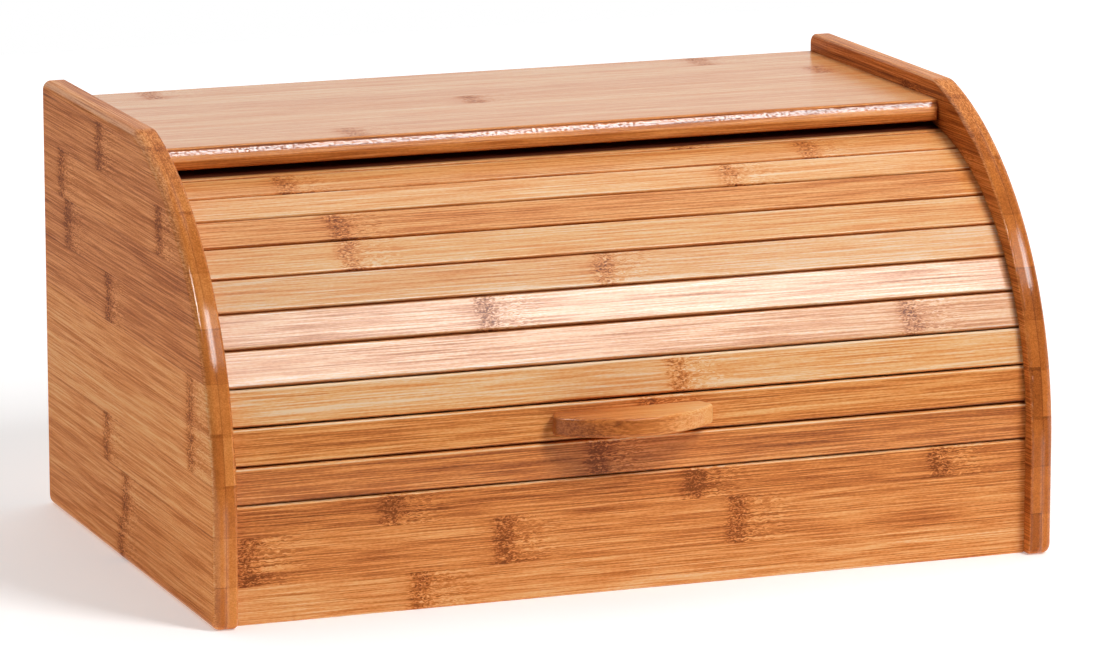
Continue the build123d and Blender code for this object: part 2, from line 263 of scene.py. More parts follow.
def grain_group():
    """Node group for wood seen along its fibres. It takes a point (along, across, through), the
    distance past the nearest growth ring and a contrast, and gives darkness and height."""
    tree = bpy.data.node_groups.new("bamboo_grain", "ShaderNodeTree")
    tree.interface.new_socket("Point", in_out="INPUT", socket_type="NodeSocketVector")
    tree.interface.new_socket("Ring", in_out="INPUT", socket_type="NodeSocketFloat")
    tree.interface.new_socket("Contrast", in_out="INPUT", socket_type="NodeSocketFloat")
    tree.interface.new_socket("Darkness", in_out="OUTPUT", socket_type="NodeSocketFloat")
    tree.interface.new_socket("Height", in_out="OUTPUT", socket_type="NodeSocketFloat")
    graph = Graph(tree)
    inputs = graph.add("NodeGroupInput").outputs
    outputs = graph.add("NodeGroupOutput").inputs
    point = inputs["Point"]
    core, haze, feather = ring_shares(graph, point, inputs["Ring"])
    bent = bend(graph, point, core, feather)

    fibre = graph.noise(bent, FIBRE, roughness=0.6)
    lines = graph.math("MULTIPLY", graph.fade(fibre, *FIBRE_TONE),
                       graph.math("MULTIPLY_ADD", feather, LINES_FEATHERED, LINES_PLAIN))
    grits = graph.fade(graph.noise(bent, GRIT, detail=1.0), *GRIT_TONE)
    streaks = graph.fade(graph.noise(bent, STREAK, detail=3.0, roughness=0.55), *STREAK_TONE)
    bands = graph.fade(graph.noise(point, BAND, detail=1.0), *BAND_TONE)
    grain = graph.math("ADD", graph.math("ADD", lines, grits), graph.math("ADD", streaks, bands))
    grain = graph.math("MULTIPLY", grain, inputs["Contrast"])

    crackle = graph.noise(bent, CRACKLE, detail=1.0)
    cracks = graph.math("MULTIPLY", graph.fade(crackle, *CRACKS), core)
    flecks = graph.math("MULTIPLY", graph.fade(crackle, *FLECKS), core)
    ring = graph.math("MULTIPLY_ADD", cracks, CRACK_TONE, graph.math("MULTIPLY", core, CORE_TONE))
    ring = graph.math("MULTIPLY_ADD", haze, HAZE_TONE, ring)
    ring = graph.math("MULTIPLY_ADD", flecks, FLECK_TONE, ring)

    height = graph.math("MULTIPLY", fibre, FIBRE_HEIGHT)
    graph.feed(outputs["Darkness"], graph.math("ADD", grain, ring))
    graph.feed(outputs["Height"], graph.math("MULTIPLY_ADD", cracks, CRACK_HEIGHT, height))
    return tree


GRAIN = grain_group()


# Boards of bamboo

# A strip of a glued board: its width, its tone, how pink it is and the places of its growth rings
# along the grain.
Strip = namedtuple("Strip", "width tone pink rings")
# A board: unit vectors along the grain and across the strips, the point they start from in metres,
# the strips of each layer, the depth at which two layers meet, and a shift of the grain.
Board = namedtuple("Board", "along across origin layers glue_depth seed", defaults=(None, 0.0))
# A lacquer: the wood's own gloss, then the coat's weight on the broad faces and off them (the same
# if None), its roughness, its refraction and how much its surface ripples.
Finish = namedtuple("Finish", "gloss coat rim_coat roughness ior peel",
                    defaults=(0.1, 0.8, None, 0.2, 1.5, 0.0))

# Ramps keep three ring places for each strip, scaled to lie from 0 to 1; NO_RING is out of sight.
RINGS_PER_STRIP = 3
RING_RANGE = 1000.0
NO_RING = 900.0
# Ramps also keep a shift from 0 to 1, so that the grain of one strip doesn't go on in the next.
STRIP_SHIFT = 0.381
SHIFT_RANGE = 700.0

# How squarely a face has to look along the grain to show it cut, and out of the board to be broad.
END_FACE = (0.35, 0.85)
BROAD_FACE = (0.90, 0.995)
# Cut grain has less contrast, and its tone differs from strip to strip.
END_CONTRAST = 0.4
END_SPREAD = 0.22
# What is neither a broad face nor end grain is sanded paler by this tone.
WORN = 0.10
# How wide a glue line is on either side, and its tone between strips and between layers.
GLUE_LINE = 0.35
STRIP_GLUE_TONE = 0.10
LAYER_GLUE_TONE = 0.16

# Painted shadow: a near-black colour in place of the wood's colour, on outward faces, where shade falls
# under the top board; its edge is soft over a short distance.
PAINTED_SHADOW_COLOUR = (0.10, 0.02, 0.008, 1.0)
PAINTED_SHADOW_FACE = (0.3, 0.7)
PAINTED_SHADOW_EDGE = 2.0

# Bump strength and depth of the grain and of the lacquer over it, which ripples like orange peel.
GRAIN_BUMP = (0.5, 0.1)
LACQUER_BUMP = 0.35
LACQUER_DEPTH = 0.06
ORANGE_PEEL = (2.4, 1.5, 1.5)
GRAIN_UNDER_LACQUER = 0.6
# From pale to dark grain: the wood's roughness rises and less of the coat stays.
GRAIN_ROUGHNESS = (-0.3, 0.5, 0.38, 0.58)
DULLING = (0.06, 0.40, 1.0, 0.35)


def layer_width(layers):
    """Width of a layer's strips together, the same for each layer."""
    return sum(strip.width for strip in layers[0])


def strip_stops(layers, value):
    """Ramp stops over all strips of all layers, with a value for each strip."""
    total = layer_width(layers)
    stops = []
    for number, strips in enumerate(layers):
        edge = number * total
        for place, strip in enumerate(strips):
            stops.append((edge / total / len(layers), value(strip, number * len(strips) + place, edge)))
            edge += strip.width
    return stops


def strip_key(graph, board, across, through):
    """Place in the ramps, which hold the strips of one layer after those of the other."""
    key = graph.math("DIVIDE", across, layer_width(board.layers) * len(board.layers))
    if len(board.layers) == 2:
        layer = graph.math("GREATER_THAN", through, board.glue_depth)
        key = graph.math("MULTIPLY_ADD", layer, 0.5, key)
    return key


def read_strips(graph, layers, key):
    """Three triples for the strip at a key: its tone, pink and shift; the places of its rings;
    and the keys of its two edges."""
    total = layer_width(layers)

    def looks(strip, number, edge):
        return strip.tone, strip.pink, (number * STRIP_SHIFT) % 1.0

    def rings(strip, number, edge):
        places = (list(strip.rings) + [NO_RING] * RINGS_PER_STRIP)[:RINGS_PER_STRIP]
        return tuple((place + RING_RANGE) / (2 * RING_RANGE) for place in places)

    def edges(strip, number, edge):
        return edge / total / len(layers), (edge + strip.width) / total / len(layers), 0.0

    return [graph.separate(graph.ramp(key, strip_stops(layers, value), "CONSTANT"))
            for value in (looks, rings, edges)]


def nearest_ring(graph, along, places):
    """Signed distance past the nearest of the growth rings."""
    nearest = None
    for place in places:
        ring = graph.math("MULTIPLY_ADD", place, 2 * RING_RANGE, -RING_RANGE)
        past = graph.math("SUBTRACT", along, ring)
        if nearest is None:
            nearest = past
            continue
        closer = graph.math("LESS_THAN", graph.math("ABSOLUTE", past), graph.math("ABSOLUTE", nearest))
        nearest = graph.blend(closer, nearest, past)
    return nearest


def facing(graph, normal, way, start, full):
    """How squarely the surface looks along a direction, either way."""
    return graph.fade(graph.math("ABSOLUTE", graph.vector("DOT_PRODUCT", normal, tuple(way))), start, full)


def glued(graph, board, key, edges, through, darkness):
    """Darkness with a thin line added where strips and layers meet."""
    if len(board.layers[0]) > 1:
        to_edge = graph.math("MINIMUM", graph.math("SUBTRACT", key, edges[0]),
                             graph.math("SUBTRACT", edges[1], key))
        to_edge = graph.math("MULTIPLY", to_edge, layer_width(board.layers) * len(board.layers))
        line = graph.fade(to_edge, 0.0, GLUE_LINE, STRIP_GLUE_TONE, 0.0)
        darkness = graph.math("ADD", darkness, line)
    if len(board.layers) == 2:
        to_glue = graph.math("ABSOLUTE", graph.math("SUBTRACT", through, board.glue_depth))
        line = graph.fade(to_glue, 0.0, GLUE_LINE, LAYER_GLUE_TONE, 0.0)
        darkness = graph.math("ADD", darkness, line)
    return darkness


def lacquer(graph, surface, finish, grain, point, flat, lacquered):
    """Relief of the grain and the clear coat over it."""
    darkness, height = grain.outputs
    graph.feed(surface.inputs["Normal"], graph.bump(height, *GRAIN_BUMP))
    graph.feed(surface.inputs["Roughness"], graph.fade(darkness, *GRAIN_ROUGHNESS))
    ripple = graph.math("MULTIPLY_ADD", height, GRAIN_UNDER_LACQUER, graph.noise(point, ORANGE_PEEL))
    graph.feed(surface.inputs["Coat Normal"],
               graph.bump(ripple, LACQUER_BUMP + finish.peel, LACQUER_DEPTH))
    off_face = finish.coat if finish.rim_coat is None else finish.rim_coat
    weight = graph.blend(flat, off_face, finish.coat)
    weight = graph.math("MULTIPLY", weight, graph.fade(darkness, *DULLING))
    graph.feed(surface.inputs["Coat Weight"], graph.math("MULTIPLY", weight, lacquered))
    surface.inputs["Specular IOR Level"].default_value = finish.gloss
    surface.inputs["Coat Roughness"].default_value = finish.roughness
    surface.inputs["Coat IOR"].default_value = finish.ior


def bamboo(name, board, finish, contrast=1.0, end_tone=0.6, shade=None, painted_shadow=None):
    """Lacquered bamboo for a board. Shade is called with the graph and the places along and across
    the grain; it returns darkness to add and the share of the lacquer that stays. The painted_shadow
    argument is the distance across from which the outward face is painted near-black, as painted
    shadow, and loses its lacquer."""
    graph, surface, material = new_material(name)
    local = graph.vector("SUBTRACT", graph.coordinates("Object"), tuple(board.origin))
    out = board.along.cross(board.across)
    along, across, through = (graph.vector("DOT_PRODUCT", local, tuple(axis / MM))
                              for axis in (board.along, board.across, out))
    key = strip_key(graph, board, across, through)
    looks, rings, edges = read_strips(graph, board.layers, key)
    tone, pink, shift = looks

    normal = graph.coordinates("Normal")
    end = facing(graph, normal, board.along, *END_FACE)
    flat = facing(graph, normal, out, *BROAD_FACE)
    shifted = graph.math("ADD", along, graph.math("MULTIPLY_ADD", shift, SHIFT_RANGE, board.seed))
    point = graph.combine(shifted, across, through)
    grain = graph.add("ShaderNodeGroup", node_tree=GRAIN)
    graph.feed(grain.inputs["Point"], point)
    graph.feed(grain.inputs["Ring"], nearest_ring(graph, along, rings))
    graph.feed(grain.inputs["Contrast"], graph.blend(end, contrast, END_CONTRAST * contrast))

    cut = graph.math("MULTIPLY_ADD", shift, END_SPREAD, end_tone - END_SPREAD / 2)
    darkness = graph.math("ADD", grain.outputs["Darkness"], graph.blend(end, tone, cut))
    rounded = graph.math("SUBTRACT", 1.0, graph.math("MAXIMUM", end, flat))
    darkness = graph.math("MULTIPLY_ADD", rounded, -WORN, darkness)
    darkness = glued(graph, board, key, edges, through, darkness)
    lacquered = 1.0
    if shade is not None:
        extra, lacquered = shade(graph, along, across)
        darkness = graph.math("ADD", darkness, extra)
    colour = graph.ramp(darkness, BAMBOO_COLOURS)
    colour = graph.mix(pink, colour, PINK, how="MULTIPLY")
    # Painted shadow: past a distance across, outward faces turn near-black and lose their lacquer, where
    # shade falls under the top board.
    if painted_shadow is not None:
        outward = graph.fade(graph.vector("DOT_PRODUCT", normal, tuple(out)), *PAINTED_SHADOW_FACE)
        shadow_share = graph.math("MULTIPLY", outward, graph.fade(across, painted_shadow, painted_shadow + PAINTED_SHADOW_EDGE))
        colour = graph.mix(shadow_share, colour, PAINTED_SHADOW_COLOUR)
        lacquered = graph.math("MULTIPLY", lacquered, graph.math("SUBTRACT", 1.0, shadow_share))
    graph.feed(surface.inputs["Base Color"], colour)
    lacquer(graph, surface, finish, grain, point, flat, lacquered)
    return material


# The slats, each a single strip with its grain along X

# Tone, pink and the places of the growth rings, from the lowest slat to the highest.
SLAT_LOOKS = {
    "slat_01": (0.62, 0.00, (-19.0,)),
    "slat_02": (0.51, 0.00, (6.0,)),
    "slat_03": (0.21, 0.05, (21.0,)),
    "slat_04": (0.36, 0.50, (137.0,)),
    "slat_05": (0.39, 0.60, (-64.0,)),
    "slat_06": (0.25, 0.15, (-5.0,)),
    "slat_07": (0.29, 0.00, (-121.0,)),
    "slat_08": (0.46, 0.00, (-122.0,)),
    "slat_09": (0.26, 0.00, (72.0,)),
    "slat_10": (0.38, 0.00, (-136.0, 117.0)),
    "slat_11": (0.40, 0.00, (60.0,)),
    "slat_12": (0.45, 0.00, (-40.0,)),
}
SLAT_SEED = 211.0
# The last two slats stay in the dark under the top and carry painted shadow, a near-black colour on their
# outward faces, one of them only in part.
SLAT_PAINTED_SHADOWS = {"slat_11": 2.0, "slat_12": -3.0}
# Distance from a long edge over which the painted shade of the seam and the painted highlight on the rim
# next to it end.
SLAT_SEAM_SHADE = (0.8, 1.3)
SLAT_RIM_HIGHLIGHT = (1.3, 1.9)
SEAM_SHADE_TONE = 0.45
# How much paler the lower and the upper rim are painted, as a painted highlight: the lowest slats show it
# most on their upper rims.
LOW_SLATS = ("slat_01", "slat_02", "slat_03")
LOW_RIM_HIGHLIGHTS = (0.0, 0.6)
OTHER_RIM_HIGHLIGHTS = (0.22, 0.08)
# Four slats are polished more than the rest.
SHINY_SLATS = ("slat_04", "slat_05", "slat_06", "slat_07")
SHINY_FINISH = Finish(gloss=0.6, coat=0.7, roughness=0.17)
SATIN_FINISH = Finish(gloss=0.25, coat=0.5, roughness=0.17)


def slat_shade(width, low_highlight, high_highlight):
    """Eased long edges: a painted highlight makes the rims paler, and painted shade makes the seams darker
    and without lacquer.
    """

    def shade(graph, along, across):
        inside = graph.math("MINIMUM", across, graph.math("SUBTRACT", width, across))
        # Painted shade darkens the seams, and a painted highlight pales the rims.
        seam_shade = graph.fade(inside, *SLAT_SEAM_SHADE, 1.0, 0.0)
        rim = graph.fade(inside, *SLAT_RIM_HIGHLIGHT, 1.0, 0.0)
        upper = graph.math("GREATER_THAN", across, width / 2)
        rim = graph.math("MULTIPLY", rim, graph.blend(upper, -low_highlight, -high_highlight))
        darkness = graph.math("MULTIPLY_ADD", seam_shade, SEAM_SHADE_TONE, rim)
        return darkness, graph.math("SUBTRACT", 1.0, seam_shade)

    return shade


def dress_slats():
    """Twelve slats, each with its own tone, rings and gloss."""
    width = 2 * SLAT_FACE * math.tan(SLAT_PITCH / 2)
    for number, name in enumerate(SLATS):
        angle = FIRST_SEAM + (number + 0.5) * SLAT_PITCH
        across = Vector((0.0, math.sin(angle), math.cos(angle)))
        origin = TRACK - across * width / 2 * MM
        board = Board(X, across, origin, [[Strip(width, *SLAT_LOOKS[name])]], seed=SLAT_SEED * number)
        finish = SHINY_FINISH if name in SHINY_SLATS else SATIN_FINISH
        rim_highlights = LOW_RIM_HIGHLIGHTS if name in LOW_SLATS else OTHER_RIM_HIGHLIGHTS
        wear(name, bamboo(name, board, finish, shade=slat_shade(width, *rim_highlights),
                          painted_shadow=SLAT_PAINTED_SHADOWS.get(name)))


# The front board: three strips, from the lowest up, and a painted highlight along its upper edge

FRONT_STRIPS = (
    Strip(17.0, 0.41, 0.05, (-103.0,)),
    Strip(22.0, 0.57, 0.0, (-183.0, -64.0, 47.0)),
    Strip(15.0, 0.63, 0.0, (-117.0, 26.0, 146.0)),
)
# Painted highlight along the upper edge: where it fades in, and how much paler it is.
FRONT_HIGHLIGHT_BAND = (52.1, 52.7)
FRONT_HIGHLIGHT_TONE = -0.35
FRONT_FINISH = Finish(coat=0.3, roughness=0.28)


def front_highlight(graph, along, across):
    """Painted highlight: the upper edge is paler."""
    return graph.fade(across, *FRONT_HIGHLIGHT_BAND, 0.0, FRONT_HIGHLIGHT_TONE), 1.0


def dress_front_board():
    """Front board with its grain along X."""
    board = Board(X, Z, Vector((0.0, 0.0, 0.0)), [FRONT_STRIPS], seed=33.0)
    wear("front_board", bamboo("front_board", board, FRONT_FINISH, contrast=1.1, shade=front_highlight))


# The side panels: two layers of strips, from the lowest up, with the grain along Y

PANEL_STRIP = 22.05
PANEL_STRIP_START = -2.5
PANEL_TONES = (0.55, 0.53, 0.47, 0.45, 0.50, 0.65, 0.67, 0.61, 0.66, 0.62)
PANEL_RINGS = (
    (-10.0,), (-3.0,), (-31.0,), (97.0,), (97.0,),
    (-25.0,), (-89.0,), (-98.0, 54.0), (-37.0,), (),
)
INNER_TONES = (0.68, 0.76, 0.70, 0.74, 0.67, 0.75, 0.71, 0.66, 0.75, 0.71)
INNER_RINGS = (
    (70.0,), (-40.0,), (15.0, -95.0), (100.0,), (-70.0, 60.0),
    (0.0,), (-50.0,), (40.0,), (-15.0,), (),
)
PANEL_FINISH = Finish(gloss=0.03, coat=0.05, rim_coat=1.0, roughness=0.09)
# Distance from the middle of the panel's thickness over which the line of shine ends.
RIM_LINE = (0.5, 1.6)
# Shares of the rim's lacquer beside that line: facing up, on the flat rim and where it rounds off.
RIM_UPWARD = (0.75, 0.95)
RIM_CURVED = (0.1, 0.3)
UPWARD_SHARE = 0.3
FLAT_SHARE = 0.15
CURVED_SHARE = 0.6


def rim_streak(middle):
    """The rims shine in a line along the middle of their thickness, except where they face up."""

    def shade(graph, along, across):
        normal = graph.separate(graph.coordinates("Normal"))
        place = graph.separate(graph.coordinates("Object"))[0]
        off = graph.math("ABSOLUTE", graph.math("SUBTRACT", graph.math("DIVIDE", place, MM), middle))
        line = graph.fade(off, *RIM_LINE, 1.0, 0.0)
        curved = graph.fade(graph.math("ABSOLUTE", normal[0]), *RIM_CURVED)
        front = graph.fade(normal[2], *RIM_UPWARD, 1.0, 0.0)
        streak = graph.math("MULTIPLY", line, front)
        around = graph.blend(front, UPWARD_SHARE, graph.blend(curved, FLAT_SHARE, CURVED_SHARE))
        return 0.0, graph.math("MAXIMUM", streak, around)

    return shade


def dress_panels():
    """The same outer layer on both panels, as seen in the photograph on the left one."""
    outer = [Strip(PANEL_STRIP, tone, 0.0, rings) for tone, rings in zip(PANEL_TONES, PANEL_RINGS)]
    inner = [Strip(PANEL_STRIP, tone, 0.0, rings) for tone, rings in zip(INNER_TONES, INNER_RINGS)]
    origin = Vector((0.0, 0.0, PANEL_STRIP_START * MM))
    for name, layers, seed, end_tone in (("left_side_panel", [inner, outer], 0.0, 0.62),
                                         ("right_side_panel", [outer, inner], 431.0, 0.78)):
        low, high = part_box(name)
        middle = (low.x + high.x) / 2 / MM
        board = Board(-Y, Z, origin, layers, glue_depth=-middle, seed=seed)
        wear(name, bamboo(name, board, PANEL_FINISH, contrast=0.82, end_tone=end_tone,
                          shade=rim_streak(middle)))


# The top board and the boards inside, with the grain along X

INNER_STRIP = 21.0
INNER_STRIP_COUNT = 13
TOP_RINGS = ((-95.0,), (), (), (-14.0,), (171.0,), (), (-151.0, 126.0), ())
TOP_PINK = 0.1
TOP_FINISH = Finish(coat=1.0, roughness=0.12, ior=1.8, peel=1.0)
HIDDEN_FINISH = Finish(coat=0.4, roughness=0.3)
# Middle, swing and step of the tones and ring places, which vary from strip to strip.
TOP_TONES = (0.37, 0.03, 2.1)
HIDDEN_TONES = (0.48, 0.06, 1.9)
HIDDEN_RINGS = (0.0, 150.0, 2.7)
# The points, in metres, that the strips of the base and of the back start from.
BASE_START = Vector((0.0, -0.13, 0.0))
BACK_START = Vector((0.0, 0.0, -0.01))

# The top board's front edge, called its nose, is one narrow strip. By distance from the front it
# has a front face, a bevel between four places, and an edge where the flat top begins.
NOSE_STRIP = Strip(5.0, 0.55, 0.0, ())
NOSE_BEVEL = (1.0, 1.4, 2.7, 3.2)
NOSE_EDGE = (4.4, 5.2)
BEVEL_TONE = 0.40
NOSE_TONE = 0.06
# Specks of bare wood on the bevel, and the share of the lacquer missing on each part.
SPECK = (1.4, 0.4, 1.0)
SPECKS = (0.42, 0.54, 0.9, 0.0)
FRONT_BARE = 0.95
TOP_BARE = 0.30
EDGE_BARE = 0.60


def nose_shade(graph, along, across):
    """Dark, shiny and specked bevel between a bare front face and a thinly lacquered top."""
    start, full, ease, end = NOSE_BEVEL
    front = graph.fade(across, start, full, 1.0, 0.0)
    flat = graph.fade(across, ease, end)
    bevel = graph.math("SUBTRACT", graph.math("SUBTRACT", 1.0, front), flat)
    edge = graph.math("MULTIPLY", flat, graph.fade(across, *NOSE_EDGE, 1.0, 0.0))
    darkness = graph.math("MULTIPLY_ADD", bevel, BEVEL_TONE, graph.math("MULTIPLY", front, NOSE_TONE))
    darkness = graph.math("MULTIPLY_ADD", edge, NOSE_TONE, darkness)
    brushed = graph.noise(graph.combine(along, across, 0.0), SPECK)
    specks = graph.math("MULTIPLY", bevel, graph.fade(brushed, *SPECKS))
    bare = graph.math("MULTIPLY_ADD", front, FRONT_BARE, graph.math("MULTIPLY", flat, TOP_BARE))
    bare = graph.math("MULTIPLY_ADD", edge, EDGE_BARE, bare)
    return darkness, graph.math("SUBTRACT", 1.0, graph.math("ADD", specks, bare))


def varied(number, middle, swing, step):
    """A value for one of a row of strips, that goes up and down without a plain pattern."""
    return middle + swing * math.sin(step * number)


def dress_inner_boards():
    """Top, base and back boards."""
    strips = [Strip(INNER_STRIP, varied(number, *TOP_TONES), TOP_PINK, rings)
              for number, rings in enumerate(TOP_RINGS)]
    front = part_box("top_board")[0].y
    board = Board(X, Y, Vector((0.0, front, 0.0)), [[NOSE_STRIP] + strips], seed=77.0)
    wear("top_board", bamboo("top_board", board, TOP_FINISH, contrast=0.8, shade=nose_shade))
    strips = [Strip(INNER_STRIP, varied(number, *HIDDEN_TONES), 0.0, (varied(number, *HIDDEN_RINGS),))
              for number in range(INNER_STRIP_COUNT)]
    for name, across, origin, seed in (("base_board", Y, BASE_START, 911.0),
                                       ("back_board", Z, BACK_START, 1711.0)):
        board = Board(X, across, origin, [strips], seed=seed)
        wear(name, bamboo(name, board, HIDDEN_FINISH))


# The handle, cut from one thick strip with the grain along X

HANDLE_STRIP = Strip(12.0, 0.56, 0.0, ())
# How far below the handle its strip starts.
HANDLE_START = 1.0
HANDLE_FINISH = Finish(coat=0.35, roughness=0.15)
# Painted shade and light: tones added at its left and right ends and where it faces up, darker toward the
# left end, which faces away from the light, paler toward the right end and paler on top, as if lit from
# above.
HANDLE_LEFT_PAINTED_SHADE = 0.38
HANDLE_RIGHT_PAINTED_LIGHT = -0.14
HANDLE_TOP_PAINTED_LIGHT = -0.10
HANDLE_LIT_TOP = (0.3, 0.9)


def dress_handle():
    """Handle with painted shade, darker toward its left end, and painted light, paler toward its right end
    and on top.
    """
    low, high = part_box("handle")
    half = (high.x - low.x) / 2 / MM
    origin = Vector(((low.x + high.x) / 2, 0.0, low.z - HANDLE_START * MM))

    def shade(graph, along, across):
        # Painted shade toward the left end, and painted light toward the right end and on faces that look
        # up.
        upward = graph.separate(graph.coordinates("Normal"))[2]
        painted_side_shade = graph.fade(along, -half, half, HANDLE_LEFT_PAINTED_SHADE, HANDLE_RIGHT_PAINTED_LIGHT)
        return graph.math("ADD", painted_side_shade, graph.fade(upward, *HANDLE_LIT_TOP, 0.0, HANDLE_TOP_PAINTED_LIGHT)), 1.0

    board = Board(X, Z, origin, [[HANDLE_STRIP]], seed=5.0)
    wear("handle", bamboo("handle", board, HANDLE_FINISH, contrast=0.65, shade=shade))


# Dowels and screws

MOTTLE = (0.3, 0.7)


def mottled(name, sizes, detail, colours, roughness):
    """Shader and material that vary between two colours and two roughnesses."""
    graph, surface, material = new_material(name)
    place = graph.vector("MULTIPLY", graph.coordinates("Object"), (1.0 / MM, 1.0 / MM, 1.0 / MM))
    patch = graph.noise(place, sizes, detail=detail)
    graph.feed(surface.inputs["Base Color"], graph.ramp(patch, tuple(zip(MOTTLE, colours))))
    graph.feed(surface.inputs["Roughness"], graph.fade(patch, *MOTTLE, *roughness))
    return surface, material


def dress_small_parts():
    """Dowels in plain beech and screws in zinc-plated steel."""
    beech = ((0.62, 0.40, 0.24), (0.45, 0.26, 0.14))
    zinc = ((0.62, 0.62, 0.60), (0.46, 0.47, 0.48))
    for name in sorted(NODES):
        if name.endswith("_dowels"):
            wear(name, mottled(name, (6.0, 0.5, 0.5), 3.0, beech, (0.6, 0.8))[1])
    surface, material = mottled("zinc_steel", (1.2, 1.2, 1.2), 4.0, zinc, (0.25, 0.42))
    surface.inputs["Metallic"].default_value = 1.0
    wear("handle_screws", material)


# The canvas behind the slats

CANVAS_HALF_WIDTH = 185.0
CANVAS_THICKNESS = 0.5
# A hair's breadth behind the slats.
CANVAS_GAP = 0.05
# Steps of the mesh along the canvas for each slat, and across the whole canvas.
CANVAS_STEPS = 5
CANVAS_COLUMNS = 48
# The side edges are folded over once; the fold's edge is rounded off.
CANVAS_HEM = 8.0
HEM_ROUNDING = 0.3
HEM_LAYERS = 2.0
HEM_EDGE_LAYERS = 1.6

# Holes about the screw heads, which sit a little below the middle of the second slat.
SCREW_SLAT = 2
SCREW_DROP = 1.5
HOLE_RADIUS = 3.3
HOLE_CLEARANCE = 0.3
HOLE_SEGMENTS = 24
CUTTER_LENGTH = 6.0

# Width of a thread, and the sizes of the cloth's unevenness across and along.
WEAVE = 0.9
CLOUD = (14.0, 14.0, 14.0)
SLUB = (9.0, 0.9, 1.0)
CLOUD_SHARE = 0.5
SLUB_SHARE = 0.3
WEAVE_SHARE = 0.35
CANVAS_COLOURS = ((0.2, (0.36, 0.28, 0.19)), (0.9, (0.74, 0.64, 0.48)))
CANVAS_ROUGHNESS = (0.95, 0.8)
CANVAS_BUMP = (0.8, 0.15)
# Stitches: how far inside the hem's fold, how far apart, how much of that is thread, how thick.
STITCH_INSET = 1.5
STITCH_PITCH = 3.0
STITCH_SHARE = 0.65
STITCH_THREAD = (0.25, 0.45)
STITCH_COLOUR = (0.82, 0.78, 0.70, 1.0)


def on_track(distance, angle):
    """Y and Z, in metres, of the point at a distance and an angle round the track's axis."""
    return TRACK.y - distance * MM * math.cos(angle), TRACK.z + distance * MM * math.sin(angle)


def canvas_line():
    """Angle and distance from the axis of each step along the canvas: a flat behind each slat."""
    line = []
    back = SLAT_FACE - SLAT_THICKNESS - CANVAS_GAP
    for step in range(len(SLATS) * CANVAS_STEPS + 1):
        angle = FIRST_SEAM + step / CANVAS_STEPS * SLAT_PITCH
        offset = (step / CANVAS_STEPS) % 1.0 - 0.5
        line.append((angle, back / math.cos(offset * SLAT_PITCH)))
    return line


def canvas_columns():
    """Places along X and the thickness there."""
    inside = CANVAS_HALF_WIDTH - CANVAS_HEM
    flat = [(-inside + 2 * inside * number / CANVAS_COLUMNS, CANVAS_THICKNESS)
            for number in range(CANVAS_COLUMNS + 1)]
    hem = [(inside + HEM_ROUNDING, HEM_LAYERS * CANVAS_THICKNESS),
           (CANVAS_HALF_WIDTH - HEM_ROUNDING, HEM_LAYERS * CANVAS_THICKNESS),
           (CANVAS_HALF_WIDTH, HEM_EDGE_LAYERS * CANVAS_THICKNESS)]
    return [(-x, thickness) for x, thickness in reversed(hem)] + flat + hem


def canvas_form():
    """Mesh of the canvas: an outer and an inner grid, joined along all four edges."""
    form = bmesh.new()
    columns = canvas_columns()
    line = canvas_line()
    outer = []
    inner = []
    for angle, distance in line:
        outer.append([form.verts.new((x * MM, *on_track(distance, angle))) for x, _ in columns])
        inner.append([form.verts.new((x * MM, *on_track(distance - thick, angle)))
                      for x, thick in columns])
    last_row = len(line) - 1
    last_column = len(columns) - 1
    for row in range(last_row):
        for column in range(last_column):
            for side, painted_side_shade in ((outer, False), (inner, True)):
                low, high = side[row], side[row + 1]
                corners = [low[column], low[column + 1], high[column + 1], high[column]]
                form.faces.new(corners[::-1] if painted_side_shade else corners)
        for column in (0, last_column):
            corners = [outer[row][column], outer[row + 1][column],
                       inner[row + 1][column], inner[row][column]]
            form.faces.new(corners if column == 0 else corners[::-1])
    for column in range(last_column):
        for row in (0, last_row):
            corners = [outer[row][column], inner[row][column],
                       inner[row][column + 1], outer[row][column + 1]]
            form.faces.new(corners if row == 0 else corners[::-1])
    bmesh.ops.recalc_face_normals(form, faces=form.faces)
    return form


def screw_heads():
    """The middles of the screw heads, in metres, and the direction their slat faces."""
    low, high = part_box("handle_screws")
    angle = FIRST_SEAM + (SCREW_SLAT - 0.5) * SLAT_PITCH
    y, z = on_track(SLAT_FACE - SLAT_THICKNESS, angle)
    head = HOLE_RADIUS * MM - HOLE_CLEARANCE * MM
    down = Vector((0.0, -math.sin(angle), -math.cos(angle))) * SCREW_DROP * MM
    outward = Vector((0.0, -math.cos(angle), math.sin(angle)))
    return [Vector((x, y, z)) + down for x in (low.x + head, high.x - head)], outward


def cut_screw_holes(canvas):
    """Round holes in the canvas about the heads of the handle's screws."""
    centres, outward = screw_heads()
    turn = outward.to_track_quat("Z", "Y").to_matrix().to_4x4()
    for centre in centres:
        cutter = bpy.data.objects.new("cutter", bpy.data.meshes.new("cutter"))
        form = bmesh.new()
        bmesh.ops.create_cone(form, cap_ends=True, segments=HOLE_SEGMENTS,
                              radius1=HOLE_RADIUS * MM, radius2=HOLE_RADIUS * MM,
                              depth=CUTTER_LENGTH * MM, matrix=Matrix.Translation(centre) @ turn)
        form.to_mesh(cutter.data)
        form.free()
        bpy.context.scene.collection.objects.link(cutter)
        cut = canvas.modifiers.new("hole", "BOOLEAN")
        cut.operation = "DIFFERENCE"
        cut.solver = "EXACT"
        cut.object = cutter
        graph_state = bpy.context.evaluated_depsgraph_get()
        mesh = bpy.data.meshes.new_from_object(canvas.evaluated_get(graph_state))
        canvas.modifiers.clear()
        canvas.data = mesh
        bpy.data.objects.remove(cutter)


